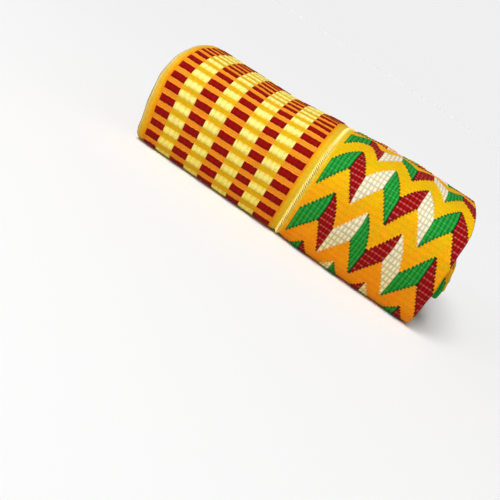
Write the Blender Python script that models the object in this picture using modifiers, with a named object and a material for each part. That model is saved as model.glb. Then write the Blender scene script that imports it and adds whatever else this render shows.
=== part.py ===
"""Folded kente cloth: two hand-woven strips sewn edge to edge and folded in half four times.

Metres, +Z up. X runs along the bundle and across the strips, with the checked strip at -X and
the zigzag strip at +X. The smooth front fold faces -Y, the free ends lie at the back, and the
bundle rests flat on Z = 0. The origin is the middle of its footprint.
"""
import math
from collections import namedtuple

import bpy
from mathutils import Vector
from mathutils.geometry import interpolate_bezier

MM = 0.001

# The cloth
CLOTH_THICKNESS = 3.0 * MM
CHECKED_WIDTH = 107.0 * MM
ZIGZAG_WIDTH = 97.0 * MM
STRIP_GAP = 0.3 * MM
TIMES_FOLDED = 4
LAYERS = 2 ** TIMES_FOLDED

# Where the bundle lies
SEAM_X = 2.5 * MM
FRONT_LINE_Y = -18.2 * MM
BACK_LINE_Y = 38.8 * MM
BASE_HEIGHT = 72.0 * MM

# Steps of the mesh
RUN_STEPS = 4
SMALLEST_FOLD_SHARE = 0.45
BACK_FOLD_STEPS = (2, 2, 4)
FRONT_FOLD_STEPS = (3, 4, 6)
CHECKED_STATIONS = (0.0, 0.12, 0.30, 0.58, 0.86, 1.0)
ZIGZAG_STATIONS = (0.0, 0.11, 0.24, 0.40, 0.64, 0.86, 1.0)

# How the bundle changes along its length, measured from the seam. top is its height: the zigzag
# strip is woven thicker than the checked one. swell is the depth of the front fold, as a share.
Girth = namedtuple("Girth", "beyond_seam top swell")
GIRTHS = (
    Girth(beyond_seam=-107.0 * MM, top=70.2 * MM, swell=0.98),
    Girth(beyond_seam=-50.0 * MM, top=71.7 * MM, swell=0.99),
    Girth(beyond_seam=-3.0 * MM, top=74.9 * MM, swell=1.00),
    Girth(beyond_seam=33.0 * MM, top=79.6 * MM, swell=1.14),
    Girth(beyond_seam=97.0 * MM, top=79.6 * MM, swell=1.12),
)

# How far the outer ends of both strips wander along X with the height above the floor
Edge = namedtuple("Edge", "z checked zigzag")
EDGES = (
    Edge(z=0.0 * MM, checked=0.0 * MM, zigzag=0.3 * MM),
    Edge(z=10.0 * MM, checked=-1.0 * MM, zigzag=0.3 * MM),
    Edge(z=26.0 * MM, checked=-2.4 * MM, zigzag=0.0 * MM),
    Edge(z=42.0 * MM, checked=-2.0 * MM, zigzag=-1.5 * MM),
    Edge(z=56.0 * MM, checked=-0.2 * MM, zigzag=-3.0 * MM),
    Edge(z=67.0 * MM, checked=2.2 * MM, zigzag=-2.8 * MM),
    Edge(z=78.0 * MM, checked=3.8 * MM, zigzag=-4.4 * MM),
)
EDGE_REACH = 34.0 * MM

# Outline of one fold round its own middle, in half heights, from its underside to its top.
# heading is the way the cloth runs there, in degrees: 180 is forward and 90 is up.
Knot = namedtuple("Knot", "name y z heading back ahead")
LOAF_FOLD = (
    Knot(name="underside", y=-0.38, z=-1.00, heading=180, back=0.00, ahead=0.20),
    Knot(name="toe", y=-0.72, z=-0.66, heading=99, back=0.21, ahead=0.30),
    Knot(name="nose", y=-0.935, z=0.36, heading=90, back=0.34, ahead=0.33),
    Knot(name="crest", y=0.45, z=1.00, heading=0, back=0.86, ahead=0.00),
)
ROUND_FOLD = (
    Knot(name="underside", y=0.00, z=-1.00, heading=180, back=0.000, ahead=0.265),
    Knot(name="toe", y=-0.707, z=-0.707, heading=135, back=0.265, ahead=0.265),
    Knot(name="nose", y=-1.00, z=0.00, heading=90, back=0.265, ahead=0.552),
    Knot(name="crest", y=0.00, z=1.00, heading=0, back=0.552, ahead=0.000),
)
LOAF_FROM_PITCHES = 0.5
LOAF_FULL_PITCHES = 4.0

# Every turn of the cloth, in order from the free end underneath: how far the cloth has slid
# along X on the turn's lower and upper side, and how far the turn lies behind the back line
Turn = namedtuple("Turn", "name slide_low slide_high behind")
TURNS = (
    Turn(name="end_below", slide_low=0.0, slide_high=0.0, behind=13.0),
    Turn(name="front_outer", slide_low=0.0, slide_high=0.0, behind=0.0),
    Turn(name="back_upper_outer", slide_low=0.9, slide_high=0.4, behind=0.0),
    Turn(name="front_core", slide_low=6.4, slide_high=5.6, behind=0.0),
    Turn(name="back_lower_outer", slide_low=5.4, slide_high=5.6, behind=7.4),
    Turn(name="front_fifth", slide_low=7.0, slide_high=-0.4, behind=0.0),
    Turn(name="back_upper_core", slide_low=-1.0, slide_high=-1.4, behind=0.2),
    Turn(name="front_fourth", slide_low=-0.6, slide_high=-1.6, behind=0.0),
    Turn(name="back_lowest", slide_low=-1.4, slide_high=-0.8, behind=11.2),
    Turn(name="front_third", slide_low=-1.3, slide_high=-1.1, behind=0.0),
    Turn(name="back_upper_third", slide_low=0.6, slide_high=0.2, behind=0.3),
    Turn(name="front_sixth", slide_low=8.6, slide_high=1.6, behind=0.0),
    Turn(name="back_lower_core", slide_low=6.2, slide_high=6.6, behind=7.6),
    Turn(name="front_seventh", slide_low=9.0, slide_high=5.2, behind=0.0),
    Turn(name="back_upper_second", slide_low=1.6, slide_high=0.6, behind=-0.2),
    Turn(name="front_second", slide_low=-0.9, slide_high=-1.1, behind=0.0),
    Turn(name="end_above", slide_low=-0.5, slide_high=-0.5, behind=15.0),
)

# Unevenness of the pile
BACK_FALL = 3.2 * MM
BACK_FALL_FROM_Y = -6.0 * MM
BACK_FALL_TO_Y = 54.0 * MM
HOLLOW_DEPTH = 0.9 * MM
HOLLOW_X = -43.0 * MM
HOLLOW_REACH = 55.0 * MM
RIPPLE = 0.28 * MM
RIPPLE_TURNS_PER_LAYER = 0.37
RIPPLE_FADE = 22.0 * MM

CHECKED_COLOUR = (0.86, 0.52, 0.10, 1.0)
ZIGZAG_COLOUR = (0.90, 0.42, 0.04, 1.0)
CLOTH_ROUGHNESS = 0.82

SectionPoint = namedtuple("SectionPoint", "y z slide ripple")


def ease(share):
    """Smooth step from 0 to 1."""
    share = min(1.0, max(0.0, share))
    return share * share * (3.0 - 2.0 * share)


def read_table(rows, where, column):
    """Eased value of a named column, at a value of the table's first column."""
    if where <= rows[0][0]:
        return getattr(rows[0], column)
    for low, high in zip(rows, rows[1:]):
        if where <= high[0]:
            share = ease((where - low[0]) / (high[0] - low[0]))
            return getattr(low, column) + (getattr(high, column) - getattr(low, column)) * share
    return getattr(rows[-1], column)


def layers_by_segment():
    """Which layer of the pile, from the bottom, each length of the cloth comes to lie in."""
    piles = [[segment] for segment in range(LAYERS)]
    while len(piles) > 1:
        half = len(piles) // 2
        piles = [piles[place] + piles[-1 - place][::-1] for place in range(half)]
    return [piles[0].index(segment) for segment in range(LAYERS)]


def layer_pitch():
    """Rise from one layer's middle to the next."""
    return (BASE_HEIGHT - CLOTH_THICKNESS) / (LAYERS - 1)


def layer_height(layer):
    """Height of a layer's middle."""
    return CLOTH_THICKNESS / 2 + layer * layer_pitch()


def blend_knots(loaf_share):
    """Knots between the round fold and the loaf-shaped one."""
    knots = []
    for plain, loaf in zip(ROUND_FOLD, LOAF_FOLD):
        mixed = [a + (b - a) * loaf_share for a, b in zip(plain[1:], loaf[1:])]
        knots.append(Knot(plain.name, *mixed))
    return knots


def fold_outline(centre_y, centre_z, half_height, loaf_share, steps, facing):
    """Points (y, z) round one fold, from its underside to its top. facing is 1 at the front."""
    points = []
    knots = blend_knots(loaf_share)
    for low, high, count in zip(knots, knots[1:], steps):
        leave = math.radians(low.heading)
        arrive = math.radians(high.heading)
        start = Vector((low.y, low.z))
        end = Vector((high.y, high.z))
        start_handle = start + low.ahead * Vector((math.cos(leave), math.sin(leave)))
        end_handle = end - high.back * Vector((math.cos(arrive), math.sin(arrive)))
        piece = interpolate_bezier(start, start_handle, end_handle, end, count + 1)
        points += piece if not points else piece[1:]
    return [(centre_y + facing * half_height * p.x, centre_z + half_height * p.y) for p in points]


def fold_between(low_layer, high_layer, turn, at_front):
    """Outline of the fold that joins two layers, from the lower to the higher."""
    half_pitches = (high_layer - low_layer) / 2
    half_height = half_pitches * layer_pitch()
    centre_z = (layer_height(low_layer) + layer_height(high_layer)) / 2
    size_share = half_pitches / (LAYERS / 2 - 0.5)
    if at_front:
        full = FRONT_FOLD_STEPS
        centre_y = FRONT_LINE_Y
        loaf_share = ease((half_pitches - LOAF_FROM_PITCHES) / (LOAF_FULL_PITCHES - LOAF_FROM_PITCHES))
    else:
        full = BACK_FOLD_STEPS
        centre_y = BACK_LINE_Y + turn.behind * MM
        loaf_share = 0.0
    share = SMALLEST_FOLD_SHARE + (1.0 - SMALLEST_FOLD_SHARE) * size_share
    steps = [max(2, round(count * share)) if at_front else count for count in full]
    return fold_outline(centre_y, centre_z, half_height, loaf_share, steps, 1 if at_front else -1)


def cloth_section():
    """The folded cloth's middle line, in order along the cloth, with its slide and ripple."""
    layers = layers_by_segment()
    outline = [(BACK_LINE_Y + TURNS[0].behind * MM, layer_height(layers[0]))]
    slides = [(0, TURNS[0].slide_low)]
    for segment in range(LAYERS - 1):
        here, above = layers[segment], layers[segment + 1]
        turn = TURNS[segment + 1]
        fold = fold_between(min(here, above), max(here, above), turn, segment % 2 == 0)
        turn_slides = [turn.slide_low, turn.slide_high]
        if here > above:
            fold.reverse()
            turn_slides.reverse()
        add_run(outline, fold[0])
        slides.append((len(outline) - 1, turn_slides[0]))
        outline += fold[1:]
        slides.append((len(outline) - 1, turn_slides[1]))
    add_run(outline, (BACK_LINE_Y + TURNS[-1].behind * MM, layer_height(layers[-1])))
    slides.append((len(outline) - 1, TURNS[-1].slide_high))
    return section_points(outline, slides)


def add_run(outline, end):
    """Carry the outline on, straight, to the point end."""
    start = outline[-1]
    for step in range(1, RUN_STEPS + 1):
        share = step / RUN_STEPS
        outline.append((start[0] + (end[0] - start[0]) * share, start[1] + (end[1] - start[1]) * share))


def section_points(outline, slides):
    """The outline's points, each with its slide, eased between the known ones, and its ripple."""
    along = [0.0]
    for before, after in zip(outline, outline[1:]):
        along.append(along[-1] + math.dist(before, after))
    points = []
    for (first, from_slide), (last, to_slide) in zip(slides, slides[1:]):
        for index in range(first, last):
            share = ease((along[index] - along[first]) / (along[last] - along[first]))
            points.append(section_point(outline[index], from_slide + (to_slide - from_slide) * share))
    points.append(section_point(outline[-1], slides[-1][1]))
    return points


def section_point(position, slide):
    """One point of the section. The ripple grows from nothing at the flat bottom layer."""
    y, z = position
    layer = (z - CLOTH_THICKNESS / 2) / layer_pitch()
    return SectionPoint(y, z, slide * MM, RIPPLE * min(1.0, layer))


def place(x, point):
    """Where a point of the section lies at x, with the pile's own unevenness."""
    x += point.slide
    beyond_seam = x - SEAM_X
    height_share = (point.z - CLOTH_THICKNESS / 2) / (BASE_HEIGHT - CLOTH_THICKNESS)
    forward = max(0.0, FRONT_LINE_Y - point.y)
    flat = ease(1.0 - forward / RIPPLE_FADE)
    y = point.y - forward * (read_table(GIRTHS, beyond_seam, "swell") - 1.0)
    z = point.z + height_share * (read_table(GIRTHS, beyond_seam, "top") - BASE_HEIGHT)
    z -= height_share * BACK_FALL * ease((y - BACK_FALL_FROM_Y) / (BACK_FALL_TO_Y - BACK_FALL_FROM_Y))
    z -= height_share ** 2 * HOLLOW_DEPTH * flat * ease(1.0 - abs(x - HOLLOW_X) / HOLLOW_REACH)
    layer = height_share * (LAYERS - 1)
    wave = 2 * math.pi * (RIPPLE_TURNS_PER_LAYER * layer + x / (2 * CHECKED_WIDTH) + y / BASE_HEIGHT)
    z += point.ripple * flat * math.sin(wave)
    near_checked_end = ease((EDGE_REACH - CHECKED_WIDTH - beyond_seam) / EDGE_REACH)
    near_zigzag_end = ease((beyond_seam - ZIGZAG_WIDTH + EDGE_REACH) / EDGE_REACH)
    x += near_checked_end * read_table(EDGES, z, "checked")
    x += near_zigzag_end * read_table(EDGES, z, "zigzag")
    return Vector((x, y, z))


def cloth_material(name, colour):
    """Plain woven cloth."""
    material = bpy.data.materials.new(name)
    material.use_nodes = True
    shader = material.node_tree.nodes["Principled BSDF"]
    shader.inputs["Base Color"].default_value = colour
    shader.inputs["Roughness"].default_value = CLOTH_ROUGHNESS
    return material


def add_strip(name, left_x, right_x, shares, section, colour, collection):
    """One woven strip, folded with its neighbour, as a sheet of the cloth's thickness."""
    stations = [left_x + (right_x - left_x) * share for share in shares]
    across = len(stations) - 1
    along = len(section) - 1
    bpy.ops.mesh.primitive_grid_add(x_subdivisions=across, y_subdivisions=along, size=1.0)
    strip = bpy.context.object
    strip.name = name
    strip.data.name = name
    for vertex in strip.data.vertices:
        column = round((vertex.co.x + 0.5) * across)
        row = round((vertex.co.y + 0.5) * along)
        vertex.co = place(stations[column], section[row])
    for owner in strip.users_collection:
        owner.objects.unlink(strip)
    collection.objects.link(strip)
    thickness = strip.modifiers.new("cloth_thickness", "SOLIDIFY")
    thickness.thickness = CLOTH_THICKNESS
    thickness.offset = 0.0
    thickness.use_even_offset = True
    strip.data.shade_smooth()
    strip.data.materials.append(cloth_material(name + "_weave", colour))
    return strip


def main():
    for old in list(bpy.data.objects):
        bpy.data.objects.remove(old, do_unlink=True)
    collection = bpy.data.collections.new("folded_kente_cloth")
    bpy.context.scene.collection.children.link(collection)
    section = cloth_section()
    checked_edge = SEAM_X - STRIP_GAP / 2
    zigzag_edge = SEAM_X + STRIP_GAP / 2
    add_strip("checked_strip", SEAM_X - CHECKED_WIDTH, checked_edge, CHECKED_STATIONS,
              section, CHECKED_COLOUR, collection)
    add_strip("zigzag_strip", zigzag_edge, SEAM_X + ZIGZAG_WIDTH, ZIGZAG_STATIONS,
              section, ZIGZAG_COLOUR, collection)


main()
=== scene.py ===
import math
from collections import namedtuple

import bpy
import numpy as np
from mathutils import Matrix, Vector
from mathutils.geometry import interpolate_bezier


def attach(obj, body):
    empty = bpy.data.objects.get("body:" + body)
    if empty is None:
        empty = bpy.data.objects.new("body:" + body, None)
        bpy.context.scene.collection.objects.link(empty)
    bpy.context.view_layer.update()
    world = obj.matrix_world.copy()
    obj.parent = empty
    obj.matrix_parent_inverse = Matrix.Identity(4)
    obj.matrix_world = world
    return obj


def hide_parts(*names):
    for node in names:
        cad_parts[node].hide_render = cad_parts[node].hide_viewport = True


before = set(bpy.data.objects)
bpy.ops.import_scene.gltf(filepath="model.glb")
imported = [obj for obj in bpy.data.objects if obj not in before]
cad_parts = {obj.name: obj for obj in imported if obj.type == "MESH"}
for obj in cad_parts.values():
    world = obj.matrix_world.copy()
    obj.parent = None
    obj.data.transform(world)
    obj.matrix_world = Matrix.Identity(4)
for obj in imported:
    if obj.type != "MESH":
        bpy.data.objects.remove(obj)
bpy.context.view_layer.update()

# The looks of a folded kente cloth: two hand-woven strips sewn edge to edge and folded in half
# four times. Sizes are in millimetres, in the bundle's own axes, and become metres in each mesh.
# Each strip is a pair of sheets, cut apart deep inside the bundle: the outer one is the cloth that
# shows on the front, top and back, and the inner one is what is folded up inside it.
MM = 0.001

# The cloth as the solids have it
CLOTH_THICKNESS = 3.0
CHECKED_WIDTH = 107.0
ZIGZAG_WIDTH = 97.0
STRIP_GAP = 0.3
TIMES_FOLDED = 4
LAYERS = 2 ** TIMES_FOLDED
SEAM_X = 2.5
FRONT_LINE_Y = -18.2
BACK_LINE_Y = 38.8
BASE_HEIGHT = 72.0
LAYER_PITCH = (BASE_HEIGHT - CLOTH_THICKNESS) / (LAYERS - 1)

# How the bundle changes along its length, measured from the seam
Girth = namedtuple("Girth", "beyond_seam top swell")
GIRTHS = (
    Girth(beyond_seam=-107.0, top=70.2, swell=0.98),
    Girth(beyond_seam=-50.0, top=71.7, swell=0.99),
    Girth(beyond_seam=-3.0, top=74.9, swell=1.00),
    Girth(beyond_seam=32.0, top=78.1, swell=1.12),
    Girth(beyond_seam=56.0, top=79.6, swell=1.13),
    Girth(beyond_seam=97.0, top=79.6, swell=1.12),
)

# How far the outer ends of both strips wander along X with the height above the floor
Edge = namedtuple("Edge", "z checked zigzag")
EDGES = (
    Edge(z=0.0, checked=0.0, zigzag=0.3),
    Edge(z=10.0, checked=-1.0, zigzag=0.3),
    Edge(z=26.0, checked=-2.4, zigzag=0.0),
    Edge(z=42.0, checked=-2.0, zigzag=-1.5),
    Edge(z=56.0, checked=-0.2, zigzag=-3.0),
    Edge(z=67.0, checked=2.2, zigzag=-2.8),
    Edge(z=78.0, checked=3.8, zigzag=-4.4),
)
EDGE_REACH = 34.0

# Outline of one fold round its own middle, in half heights, from its underside to its top.
# heading is the way the cloth runs there, in degrees: 180 is forward and 90 is up.
Knot = namedtuple("Knot", "name y z heading back ahead")
LOAF_FOLD = (
    Knot(name="underside", y=-0.38, z=-1.00, heading=180, back=0.00, ahead=0.20),
    Knot(name="toe", y=-0.72, z=-0.66, heading=99, back=0.21, ahead=0.30),
    Knot(name="nose", y=-0.935, z=0.36, heading=90, back=0.34, ahead=0.33),
    Knot(name="crest", y=0.45, z=1.00, heading=0, back=0.86, ahead=0.00),
)
ROUND_FOLD = (
    Knot(name="underside", y=0.00, z=-1.00, heading=180, back=0.000, ahead=0.265),
    Knot(name="toe", y=-0.707, z=-0.707, heading=135, back=0.265, ahead=0.265),
    Knot(name="nose", y=-1.00, z=0.00, heading=90, back=0.265, ahead=0.552),
    Knot(name="crest", y=0.00, z=1.00, heading=0, back=0.552, ahead=0.000),
)
LOAF_FROM_PITCHES = 0.5
LOAF_FULL_PITCHES = 4.0
FOLD_POINTS = 25
RUN_POINTS = 41

# Every turn of the cloth, in order from the free end underneath: how far the cloth has slid
# along X on the turn's lower and upper side, and how far the turn lies behind the back line
Turn = namedtuple("Turn", "name low high behind")
TURNS = (
    Turn(name="end_below", low=0.0, high=0.0, behind=13.0),
    Turn(name="front_outer", low=0.0, high=0.0, behind=0.0),
    Turn(name="back_upper_outer", low=0.9, high=0.4, behind=0.0),
    Turn(name="front_core", low=6.4, high=5.6, behind=0.0),
    Turn(name="back_lower_outer", low=5.4, high=5.6, behind=7.4),
    Turn(name="front_fifth", low=7.0, high=-0.4, behind=0.0),
    Turn(name="back_upper_core", low=-1.0, high=-1.4, behind=0.2),
    Turn(name="front_fourth", low=-0.6, high=-1.6, behind=0.0),
    Turn(name="back_lowest", low=-1.4, high=-0.8, behind=11.2),
    Turn(name="front_third", low=-1.3, high=-1.1, behind=0.0),
    Turn(name="back_upper_third", low=0.6, high=0.2, behind=0.3),
    Turn(name="front_sixth", low=8.6, high=1.6, behind=0.0),
    Turn(name="back_lower_core", low=6.2, high=6.6, behind=7.6),
    Turn(name="front_seventh", low=9.0, high=5.2, behind=0.0),
    Turn(name="back_upper_second", low=1.6, high=0.6, behind=-0.2),
    Turn(name="front_second", low=-0.9, high=-1.1, behind=0.0),
    Turn(name="end_above", low=-0.5, high=-0.5, behind=15.0),
)

# Unevenness of the pile
BACK_FALL = 3.2
BACK_FALL_FROM_Y = -6.0
BACK_FALL_TO_Y = 54.0
HOLLOW_DEPTH = 0.9
HOLLOW_X = -43.0
HOLLOW_REACH = 55.0
RIPPLE = 0.28
RIPPLE_TURNS_PER_LAYER = 0.37
RIPPLE_FADE = 22.0

# The sheets. Places along the cloth are measured from a mark on the top layer, and grow forward,
# down the front and under the bundle.
SHEET_THICKNESS = 2.6
RIM_WIDTH = 1.1
RIM_ANGLES = (50.0, 17.0, -17.0, -50.0)
MARK_Y = -0.8
FINE_FROM = -94.0
FINE_TO = 132.0
CUT_AT = -118.0
CUT_GAP = 0.4
PROBE = 0.2
COARSE_STEP = 5.0
COARSE_TURN = math.radians(16.0)
HIDDEN_COLUMN = 4.0

# Selvages, where the weft turns back, and hems at the free ends
LOOP_RISE = 0.10
HEM_WIDE = 12.0
HEM_RISE = 0.8
HEM_STEP = 0.8
HEM_ROWS = (0.1, 0.3, 0.6, 1.1, 3.0, 6.0, 9.0, 9.8, 10.4, 11.0, 11.6, 12.2, 13.0)
ROW_CLEAR = 0.5
HEM_STITCH_AT = 9.8
HEM_STITCH_WIDE = 0.6
HEM_STITCH_PITCH = 3.6
HEM_STITCH_LONG = 2.232
HEM_STITCH_CLEAR = 1.5
END_ROUND = 1.1
END_BLUNT = 0.35

# Checked strip: columns of the pattern from the outer edge to the seam, and rows of blocks
Column = namedtuple("Column", "colour to_x")
CHECKED_COLUMNS = (
    Column("edge", -101.5),
    Column("red", -92.3),
    Column("yellow", -81.5),
    Column("red", -70.7),
    Column("yellow", -60.4),
    Column("red", -49.2),
    Column("yellow", -38.5),
    Column("red", -29.1),
    Column("yellow", -18.3),
    Column("red", -6.3),
    Column("edge", 0.0),
)
BLOCK_PITCH = 8.08
BLOCK_TALL = 4.7
RED_TALL = 4.5
YELLOW_TALL = 4.95
FIRST_BLOCK = 24.1
CHECKED_SKEW = 0.022
CHECKED_ROWS_PER_PITCH = 12
BLOCK_FACES = 8
BLOCK_RISE = 0.50
BLOCK_SHOULDER = 0.38
BLOCK_ROUND = 2.6
BLOCK_END_RISE = 0.35
BLOCK_JITTER = 0.04

# Zigzag strip: every leaf is a few columns of cells, and each column starts one cell higher or
# lower than the last, so that a row of leaves rises to a peak and falls again
Leaf = namedtuple("Leaf", "colour to_x")
LEAVES = (
    Leaf("none", 4.1),
    Leaf("green", 17.0),
    Leaf("red", 27.1),
    Leaf("white", 39.0),
    Leaf("green", 49.9),
    Leaf("red", 61.4),
    Leaf("white", 72.8),
    Leaf("green", 86.0),
    Leaf("red", 97.0),
)
LEAF_ORDER = ("green", "red", "white")
DARK_LEAVES = 2
LEAF_CELLS = 5
LEAF_SLANT = 0.6
EDGE_STEPS = 2.0
LEAF_BELLY = 1.1
MARGIN_CELLS = 2
CELL_TALL = 3.52
CELL_FACES = 3
COLUMN_CLEAR = 0.3
CELL_ROWS = 6
LEAF_TALL = LEAF_CELLS * CELL_TALL
LEAF_PITCH = 28 / 3 * CELL_TALL
FIRST_PEAK = 33.8
INNER_SHIFT = 14.0
ZIGZAG_SKEW = 0.008
INLAY_RISE = 0.16
CELL_PILLOW = 0.34

# How far the rows lie forward of an even pitch, at places along the cloth
Creep = namedtuple("Creep", "place shift")
CREEP = (
    Creep(place=-5.0, shift=0.0),
    Creep(place=24.0, shift=-0.9),
    Creep(place=48.0, shift=-0.75),
    Creep(place=64.5, shift=-2.35),
    Creep(place=89.0, shift=-0.4),
    Creep(place=112.0, shift=0.0),
)

# How far the checked strip's outer columns lean towards the seam, and the zigzag strip's middle
# away from it, at places along the cloth
Lean = namedtuple("Lean", "place checked zigzag")
LEAN = (
    Lean(place=0.0, checked=0.0, zigzag=0.0),
    Lean(place=26.0, checked=-2.4, zigzag=0.0),
    Lean(place=49.0, checked=-0.4, zigzag=-1.2),
    Lean(place=58.0, checked=0.2, zigzag=-0.8),
    Lean(place=76.0, checked=1.6, zigzag=0.9),
    Lean(place=85.0, checked=1.9, zigzag=0.6),
    Lean(place=112.0, checked=0.0, zigzag=0.0),
)
LEAN_AT_RIM = 0.3
LEAN_FULL = 8.0
LEAN_REACH = 42.0
ZIGZAG_LEAN_FULL = 14.0
ZIGZAG_LEAN_TO = 74.0
ZIGZAG_LEAN_FADE = 18.0

# Creases: soft troughs between two places on the cloth, or ridges where sunk is negative
Crease = namedtuple("Crease", "x v to_x to_v wide sunk")
CREASES = (
    Crease(x=4.0, v=20.0, to_x=38.0, to_v=8.0, wide=11.0, sunk=1.5),
    Crease(x=2.0, v=31.0, to_x=22.0, to_v=24.0, wide=7.0, sunk=-0.5),
    Crease(x=60.0, v=12.0, to_x=96.0, to_v=5.0, wide=9.0, sunk=0.5),
    Crease(x=66.0, v=70.0, to_x=95.0, to_v=63.0, wide=9.0, sunk=0.45),
    Crease(x=14.0, v=66.0, to_x=52.0, to_v=70.0, wide=12.0, sunk=0.35),
    Crease(x=-30.0, v=20.0, to_x=-3.0, to_v=26.0, wide=9.0, sunk=0.5),
    Crease(x=-104.0, v=74.0, to_x=-76.0, to_v=66.0, wide=10.0, sunk=0.4),
    Crease(x=-80.0, v=44.0, to_x=-36.0, to_v=40.0, wide=12.0, sunk=0.3),
    Crease(x=-98.0, v=-20.0, to_x=-20.0, to_v=-28.0, wide=12.0, sunk=0.6),
    Crease(x=16.0, v=-18.0, to_x=90.0, to_v=-24.0, wide=10.0, sunk=0.7),
)
CREASE_TAPER = 3.0

# The flat map that the colours are kept on: shares of its width, the weight of shown rows, and the
# strip along its foot for the two ends of a sheet
FACE_SHARE = 0.64
RIM_SHARE = 0.02
SHOWN_WEIGHT = 2.0
MAP_MARGIN = 0.003
MAP_STEP_SPARE = 0.2
CAP_STRIP = 0.012
CAP_SHARE = 0.46
CAP_PLACES = (0.0, 0.5)

# The seam: both edges draw in beside a low bead that the stitches hold
SEAM_DIP = 0.7
SEAM_DIP_REACH = 6.0
SEAM_BEAD = 0.55
SEAM_BEAD_REACH = 1.7
PUCKER_DEPTH = 0.22
PUCKER_PITCH = 6.4
PUCKER_REACH = 9.0
STITCH_PITCH = 1.45
STITCH_REACH = 1.15
STITCH_SLANT = 0.8
STITCH_RADIUS = 0.42
STITCH_LIFT = 0.5
STITCH_SUNK = 0.12
STITCH_POINTS = 5
STITCH_SIDES = 6
STITCH_TIP = 0.25
STITCH_BLUNT = 0.4
STITCHES_FROM = 8.0
STITCHES_TO = 4.0

# Threads, ribs and edge lines
WARP_PITCH = 1.15
WEFT_PITCH = CELL_TALL / CELL_ROWS
RIB_PITCH = 3.4
EDGE_BAND = 6.3
SEAM_BAND = 2.6

# Stage, camera and light, in metres
FLOOR_SIZE = 60.0
FLOOR_COLOUR = (0.83, 0.83, 0.83, 1.0)
CAMERA_AT = Vector((0.0264, -0.4510, 0.1168))
CAMERA_FORWARD = Vector((-0.0713, 0.9484, -0.3090))
CAMERA_LEVEL = Vector((0.9972, 0.0750, 0.0))
CAMERA_ROLL = math.radians(33.5)
CAMERA_LENS = 49.97
SENSOR_WIDTH = 36.0
SUN_FROM = Vector((-0.30, -0.58, 1.0))
SUN_SOFTNESS = math.radians(34.0)
SUN_STRENGTH = 3.10
LAMP_AT = Vector((-0.42, -0.55, 0.30))
LAMP_SIZE = 0.35
LAMP_POWER = 0.9
Sky = namedtuple("Sky", "upward grey")
SKY = (
    Sky(upward=0.22, grey=0.868),
    Sky(upward=0.50, grey=0.12),
)


def ease(share):
    """Smooth step from 0 to 1."""
    share = np.clip(share, 0.0, 1.0)
    return share * share * (3.0 - 2.0 * share)


def stretch(at, where):
    """Which stretch between known places each value falls in."""
    return np.clip(np.searchsorted(at, where, side="right") - 1, 0, len(at) - 2)


def blend(at, values, where):
    """Eased values between known places."""
    low = stretch(at, where)
    share = ease((where - at[low]) / (at[low + 1] - at[low]))
    return values[low] + (values[low + 1] - values[low]) * share


def read_table(rows, where, column):
    """Eased values of a named column, at values of the table's first column."""
    at = np.array([row[0] for row in rows])
    return blend(at, np.array([getattr(row, column) for row in rows]), where)


def layers_by_segment():
    """Which layer of the pile, from the bottom, each length of the cloth comes to lie in."""
    piles = [[segment] for segment in range(LAYERS)]
    while len(piles) > 1:
        half = len(piles) // 2
        piles = [piles[place] + piles[-1 - place][::-1] for place in range(half)]
    return [piles[0].index(segment) for segment in range(LAYERS)]


def layer_height(layer):
    """Height of a layer's middle."""
    return CLOTH_THICKNESS / 2 + layer * LAYER_PITCH


def blend_knots(loaf_share):
    """Knots between the round fold and the loaf-shaped one."""
    knots = []
    for plain, loaf in zip(ROUND_FOLD, LOAF_FOLD):
        mixed = [a + (b - a) * loaf_share for a, b in zip(plain[1:], loaf[1:])]
        knots.append(Knot(plain.name, *mixed))
    return knots


def fold_outline(centre_y, centre_z, half_height, loaf_share, facing):
    """Points (y, z) round one fold, from its underside to its top. facing is 1 at the front."""
    points = []
    knots = blend_knots(loaf_share)
    for low, high in zip(knots, knots[1:]):
        leave = math.radians(low.heading)
        arrive = math.radians(high.heading)
        start = Vector((low.y, low.z))
        end = Vector((high.y, high.z))
        start_handle = start + low.ahead * Vector((math.cos(leave), math.sin(leave)))
        end_handle = end - high.back * Vector((math.cos(arrive), math.sin(arrive)))
        piece = interpolate_bezier(start, start_handle, end_handle, end, FOLD_POINTS)
        points += piece if not points else piece[1:]
    return [(centre_y + facing * half_height * p.x, centre_z + half_height * p.y) for p in points]


def fold_between(low_layer, high_layer, turn, at_front):
    """Outline of the fold that joins two layers, from the lower to the higher."""
    half_pitches = (high_layer - low_layer) / 2
    half_height = half_pitches * LAYER_PITCH
    centre_z = (layer_height(low_layer) + layer_height(high_layer)) / 2
    if not at_front:
        return fold_outline(BACK_LINE_Y + turn.behind, centre_z, half_height, 0.0, -1)
    loaf_share = ease((half_pitches - LOAF_FROM_PITCHES) / (LOAF_FULL_PITCHES - LOAF_FROM_PITCHES))
    return fold_outline(FRONT_LINE_Y, centre_z, half_height, float(loaf_share), 1)


def add_run(outline, end):
    """Carry the outline on, straight, to the point end."""
    outline += list(zip(*(np.linspace(a, b, RUN_POINTS)[1:] for a, b in zip(outline[-1], end))))


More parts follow.
